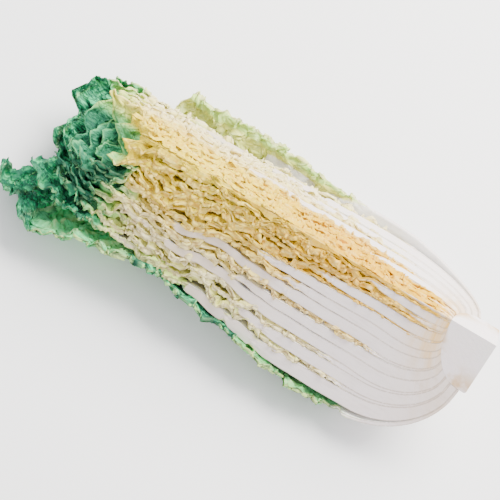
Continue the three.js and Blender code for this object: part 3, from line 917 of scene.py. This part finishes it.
def leaf_finish():
    leaf = Finish("leaf", roughness=LEAF_ROUGHNESS, subsurface=0.08)
    names = ("green", "heart", "limp", "cut", "painted_depth_shade", "gold", "puff")
    green, heart, limp, cut, painted_depth_shade, gold, puff = (leaf.fact(name) for name in names)
    sheet, here = leaf.fact("sheet", "Vector"), leaf.here()
    grain = leaf.stretch(here, GRAIN)
    mottle, fine = leaf.speckle(sheet, MOTTLES, 4), leaf.speckle(sheet, SPECKS, 2)
    fibres, cracks = leaf.speckle(grain, FIBRES), leaf.cracks(grain, CRACKS)
    net = leaf.cracks(sheet, NET)
    winding = abs(leaf.speckle(leaf.stretch(sheet, PLEATS), WINDINGS, 1) - 0.5)
    # the savoy's winding valleys: they sink the bump, and shade is painted into them
    valley_relief_and_painted_shade = (1 - winding.step(0.02, 0.10)) * green.step(0.68, 0.84) * limp
    greenish = green.step(0.1, 0.5)
    yellow, whole = heart * (1 - greenish), 1 - cut
    back = leaf.node("ShaderNodeSeparateXYZ", inputs={0: here}, output=1).step(-8 * MM, 4 * MM)
    # the colour of painted shade, by kind of blade
    painted_crevice_shade = leaf.blend(greenish, leaf.blend(heart, HEAD_PAINTED_SHADE, HEART_PAINTED_SHADE), GREEN_PAINTED_SHADE)
    shade = green + (mottle - 0.5) * 0.35 * green.step(0.02, 0.3)
    layers = [  # what lies over the blade's green, from the bottom up, and how strongly
        ((1 - net.step(0.0, 0.12)) * 0.22 * limp * (1 - green.step(0.5, 0.8)), VEIN_GREEN),
        (leaf.fact("vein") * 0.6, VEIN_GREEN),
        (cut * 0.85, leaf.ramp(shade, CUT_GREENS)),
        (yellow * (0.7 + 0.3 * fibres.step(0.3, 0.55)), leaf.blend(gold, HEART_LEMON, HEART_GOLD)),
        # painted light: paler heart cut on the front face
        (cut * (1 - back) * yellow * 0.28, HEART_CUT_PAINTED_LIGHT),
        # painted shade in sunk cut edges and under the torn margin
        (leaf.fact("painted_pit_shade") * 0.6, painted_crevice_shade),
        # painted shade along crack lines in the cut
        (cut * (1 - cracks.step(0.03, 0.11)) * mottle.step(0.35, 0.55) * 0.6, painted_crevice_shade),
        # painted shade in the savoy valleys
        (valley_relief_and_painted_shade * 0.8, GREEN_PAINTED_SHADE),
        # painted shade in the hollows between blisters
        ((1 - puff.step(0.05, 0.8)) * green.step(0.45, 0.8) * limp * 0.8, GREEN_PAINTED_SHADE),
        # painted highlight on the tops of blisters
        (puff.step(0.75, 1.0) * green.step(0.7, 1.0) * mottle.step(0.4, 0.6) * 0.5, BLISTER_PAINTED_HIGHLIGHT),
        # painted shade on the blade, darker behind the cuts
        (painted_depth_shade * whole * 0.16, painted_crevice_shade),
    ]
    blade = leaf.paint(leaf.ramp(shade, BLADE_GREENS), layers)
    across = abs(leaf.fact("side"))
    margin = (1 - across) * leaf.fact("thick")
    haze = leaf.fact("base") * (0.25 + 0.75 * mottle.step(0.3, 0.7))
    layers = [  # the same for the rib's white
        (cut, leaf.blend(gold, RIB_CUT_TIPWARD, RIB_CUT)),
        (fibres.step(0.45, 0.75) * 0.16, RIB_LINE_AND_PAINTED_SHADE),
        (haze, leaf.blend(heart, STEM_TAN, BASE_GOLD)),
        ((1 - margin.step(0.0, EDGE_LINE)) * cut * fine.step(0.25, 0.55) * 0.75, RIB_LINE_AND_PAINTED_SHADE),
        # painted shade on the rib, darker behind the cuts
        (painted_depth_shade * whole * 0.3, RIB_LINE_AND_PAINTED_SHADE),
    ]
    rib = leaf.paint(RIB_WHITE, layers)
    bladed = (limp + (across - 0.4) * cut * 0.5).step(0.3, 0.6)
    leaf.set("Base Color", leaf.blend(bladed, rib, blade))
    leaf.set("Roughness", LEAF_ROUGHNESS + 0.22 * fine)
    relief = net.step(0.0, 0.3) * limp + 0.35 * fine + 0.6 * mottle * limp - 1.2 * valley_relief_and_painted_shade
    leaf.bump(relief, LEAF_RELIEF, 0.6)
    return leaf.material


CLOUDS, STEM_RELIEF = 45, 0.6 * MM


def stem_finish():
    stem = Finish("stem", roughness=0.5, subsurface=0.12)
    cloud = stem.speckle(stem.here(), CLOUDS, 4)
    grain = stem.speckle(stem.here(), FIBRES, 2)
    white = stem.blend(cloud, STEM_CUT, RIB_WHITE)
    worn = stem.fact("rim").step(0.5, 1.0) * cloud.step(0.38, 0.56)
    stem.set("Base Color", stem.blend(worn * 0.8, white, STEM_TAN))
    stem.bump(grain, STEM_RELIEF, 0.4)
    return stem.material


LEAF = leaf_finish()
STEM = stem_finish()
print("finishes:", LEAF.name, "and", STEM.name)

# %% [markdown]
# ## Puckers
#
# Between its smallest veins a blade puckers: hundreds of shallow winding bumps that follow the
# leaf's surface, deepest on the outer leaves. They repeat over every leaf, so one Geometry Nodes
# tree makes them. It lifts both sides of a leaf the same way, by noise laid out on the leaf, and
# only where the leaf is limp. It fades out near the surface that the quarter lies on.

# %% The pucker tree
PUCKER_HEIGHT, HEART_PUCKER_HEIGHT = 0.9, 0.4  # mm
PUCKER_SIZE, HEART_PUCKER_SIZE = 3.4, 2.4  # mm
PUCKER_VALLEY, PUCKER_UNIT = 0.08, 10 * MM
CLEAR_OF_FLOOR = MM, 6 * MM


def pucker_tree():
    """A tree that lifts a leaf's points, with its height and the size of a pucker in mm."""
    tree = bpy.data.node_groups.new("pucker", "GeometryNodeTree")
    kinds = {"Geometry": "Geometry", "Height": "Float", "Size": "Float", "Seed": "Float"}
    for name, kind in {**kinds, "Material": "Material"}.items():
        tree.interface.new_socket(name, in_out="INPUT", socket_type="NodeSocket" + kind)
    tree.interface.new_socket("Geometry", in_out="OUTPUT", socket_type="NodeSocketGeometry")

    def node(*terms, **more):
        return add_node(tree, *terms, **more)

    def maths(operation, a, b=0.0):
        return node("ShaderNodeMath", {"operation": operation}, {0: a, 1: b})

    def fact(name, kind="FLOAT"):
        return node("GeometryNodeInputNamedAttribute", {"data_type": kind}, {"Name": name})

    given = tree.nodes.new("NodeGroupInput").outputs
    scale = maths("DIVIDE", 100.0, given["Size"])
    bumps = {"Vector": fact("sheet", "FLOAT_VECTOR"), "W": given["Seed"], "Scale": scale}
    bumps = node("ShaderNodeTexNoise", {"noise_dimensions": "4D"}, {**bumps, "Detail": 1.0})
    winding = maths("ABSOLUTE", maths("SUBTRACT", bumps, 0.5))
    outward = maths("MULTIPLY", fact("limp"), fact("side"))
    lift = maths("MULTIPLY", maths("SUBTRACT", winding, PUCKER_VALLEY), outward)
    above = node("ShaderNodeSeparateXYZ", inputs={0: node("GeometryNodeInputPosition")}, output=2)
    low, high = CLEAR_OF_FLOOR
    clear = node("ShaderNodeMapRange", {}, {"Value": above, "From Min": low, "From Max": high})
    height = maths("MULTIPLY", given["Height"], PUCKER_UNIT)
    lift = maths("MULTIPLY", maths("MULTIPLY", lift, clear), height)
    offset = {0: node("GeometryNodeInputNormal"), "Scale": lift}
    offset = node("ShaderNodeVectorMath", {"operation": "SCALE"}, offset)
    moved = {"Geometry": given["Geometry"], "Offset": offset}
    moved = {"Geometry": node("GeometryNodeSetPosition", inputs=moved)}
    moved = {"Geometry": node("GeometryNodeRealizeInstances", inputs=moved)}
    moved = node("GeometryNodeSetMaterial", inputs={**moved, "Material": given["Material"]})
    tree.links.new(moved, tree.nodes.new("NodeGroupOutput").inputs["Geometry"])
    return tree


PUCKER = pucker_tree()
PUCKER_SOCKETS = [item for item in PUCKER.interface.items_tree if item.in_out == "INPUT"]
PUCKER_INPUTS = {socket.name: socket.identifier for socket in PUCKER_SOCKETS}


def pucker(piece, material, **sizes):
    """Puts the tree's result in the place of the piece's own mesh."""
    modifier = piece.modifiers.new("pucker", "NODES")
    modifier.node_group = PUCKER
    for name, value in {"Material": material, **sizes}.items():
        modifier[PUCKER_INPUTS[name]] = value
    depsgraph = bpy.context.evaluated_depsgraph_get()
    fine = piece.evaluated_get(depsgraph)
    mesh = bpy.data.meshes.new_from_object(fine, preserve_all_data_layers=True, depsgraph=depsgraph)
    piece.modifiers.remove(modifier)
    plain, piece.data = piece.data, mesh
    bpy.data.meshes.remove(plain)


print("pucker takes", sorted(PUCKER_INPUTS))

# %% [markdown]
# ## The pieces
#
# Each fine piece is given its finish, hangs from the root body, and the solid it replaces is
# hidden.


def dress(piece, node, material):
    if not piece.data.materials:
        piece.data.materials.append(material)
    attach(piece, "root")
    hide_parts(node)


LEAF_NODES = {int(name[-2:]) - 1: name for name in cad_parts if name[-2:].isdigit()}
COLUMNS = MIDDLE_COLUMNS + [HIDDEN_COLUMNS] * LEAF_COUNT
triangles = 0
for leaf, columns in zip(LEAVES[:-1], COLUMNS):
    node = LEAF_NODES[leaf.n]
    piece = skin("fine_" + node, *leaf_points(leaf, columns))
    height = mix(PUCKER_HEIGHT, HEART_PUCKER_HEIGHT, leaf.inward)
    size = mix(PUCKER_SIZE, HEART_PUCKER_SIZE, leaf.inward)
    pucker(piece, LEAF, Height=height, Size=size, Seed=float(leaf.n))
    dress(piece, node, LEAF)
    triangles += 2 * len(piece.data.polygons)
print(len(LEAF_NODES), "leaves,", triangles, "triangles")

# %% [markdown]
# ### The bud and the stem
#
# The bud is the last leaf, closed on itself, so it reaches the axis. The stem is cut off flat and
# its edge is a little worn. Its dome is where every leaf grew from.

# %% Dress the bud and the stem
bud_outer, _, _, bud_facts = leaf_points(LEAVES[-1], HIDDEN_COLUMNS)
dress(wedge("fine_heart_bud", bud_outer, bud_facts), "heart_bud", LEAF)

STEM_COLUMNS = 41
WORN_EDGE = [(0.0, -1.5), (0.35, -0.7), (0.9, -0.2), (1.6, 0.0)]  # t, and mm inside the radius
SIDE_ROWS, DOME_DEPTHS = (0.3, 0.6, 0.9), np.linspace(0.99, 0.03, 30)
DENT = 0.25  # mm


def stem_points():
    angle = np.linspace(-CUT_ANGLE, CUT_ANGLE, STEM_COLUMNS)[None, :]
    stem, worn_t = stem_at(angle), WORN_EDGE[-1][0]
    ends = [(t + 0 * angle, stem["radius"] + inset) for t, inset in WORN_EDGE]
    side = [(mix(worn_t, stem["shoulder"], part), stem["radius"] + 0 * angle) for part in SIDE_ROWS]
    dome = [dome_at(depth, angle) for depth in DOME_DEPTHS]
    t, r = (np.array(column)[:, 0] for column in zip(*(ends + side + dome)))
    dents = noise(t / 4, np.radians(angle) * r / 5, 300)
    r = r - DENT * (1 + dents) * ease(0, 2, t)
    return place(t, r, angle), {"rim": 1 + 0 * t}


stem_outer, stem_facts = stem_points()
dress(wedge("fine_stem_butt", stem_outer, stem_facts), "stem_butt", STEM)
print("stem", np.round(stem_outer.min(axis=(0, 1)), 1), np.round(stem_outer.max(axis=(0, 1)), 1))

# %% [markdown]
# ## The floor, the light and the camera
#
# A pale floor, a bright surround and one large soft lamp behind the quarter light both cut faces.
# The camera looks steeply down on the wide front face and is rolled, as the photograph's was.

# %% Stage
REACH = 3.0
WORLD_COLOUR, WORLD_STRENGTH = (0.975, 0.955, 1.0, 1), 1.5
KEY_COLOUR, KEY_POWER, KEY_SIZE = (1.0, 0.985, 0.94), 84, 1.1
KEY_PLACE, KEY_TARGET = Vector((0.35, 0.85, 1.15)), Vector((0, 0, 0.03))

floor_mesh = bpy.data.meshes.new("floor")
corners = [(-REACH, -REACH, 0), (REACH, -REACH, 0), (REACH, REACH, 0), (-REACH, REACH, 0)]
floor_mesh.from_pydata(corners, [], [(0, 1, 2, 3)])
floor = add_object("floor", floor_mesh)
paper = Finish("paper", roughness=0.9)
greys = [(0.3, (0.93, 0.93, 0.93)), (0.7, (0.95, 0.95, 0.95))]
paper.set("Base Color", paper.ramp(paper.speckle(paper.here(), 3), greys))
floor_mesh.materials.append(paper.material)

world = bpy.data.worlds.new("studio")
bpy.context.scene.world = world
world.use_nodes = True
background = world.node_tree.nodes["Background"].inputs
background["Color"].default_value = WORLD_COLOUR
background["Strength"].default_value = WORLD_STRENGTH

lamp = bpy.data.lights.new("key", "AREA")
lamp.size, lamp.energy, lamp.color = KEY_SIZE, KEY_POWER, KEY_COLOUR
key = add_object("key", lamp)
key.location = KEY_PLACE
key.rotation_euler = (KEY_TARGET - KEY_PLACE).to_track_quat("-Z", "Y").to_euler()

VIEW_ELEVATION, VIEW_ROLL = math.radians(66), math.radians(30.5)
DISTANCE, FRAME_WIDTH, SENSOR = 1.2, 0.304, 36
TARGET = Vector((-21.5, 0, 21.5)) * MM
camera_data = bpy.data.cameras.new("camera")
camera_data.sensor_width = SENSOR
camera_data.lens = SENSOR * DISTANCE / FRAME_WIDTH
camera = add_object("camera", camera_data)
offset = Vector((0, -math.cos(VIEW_ELEVATION), math.sin(VIEW_ELEVATION))) * DISTANCE
facing = (-offset).to_track_quat("-Z", "Y").to_matrix().to_4x4()
rolled = facing @ Matrix.Rotation(VIEW_ROLL, 4, "Z")
camera.matrix_world = Matrix.Translation(TARGET + offset) @ rolled
bpy.context.scene.camera = camera
print("lens", round(camera_data.lens, 1), "mm, key light", KEY_POWER, "W")
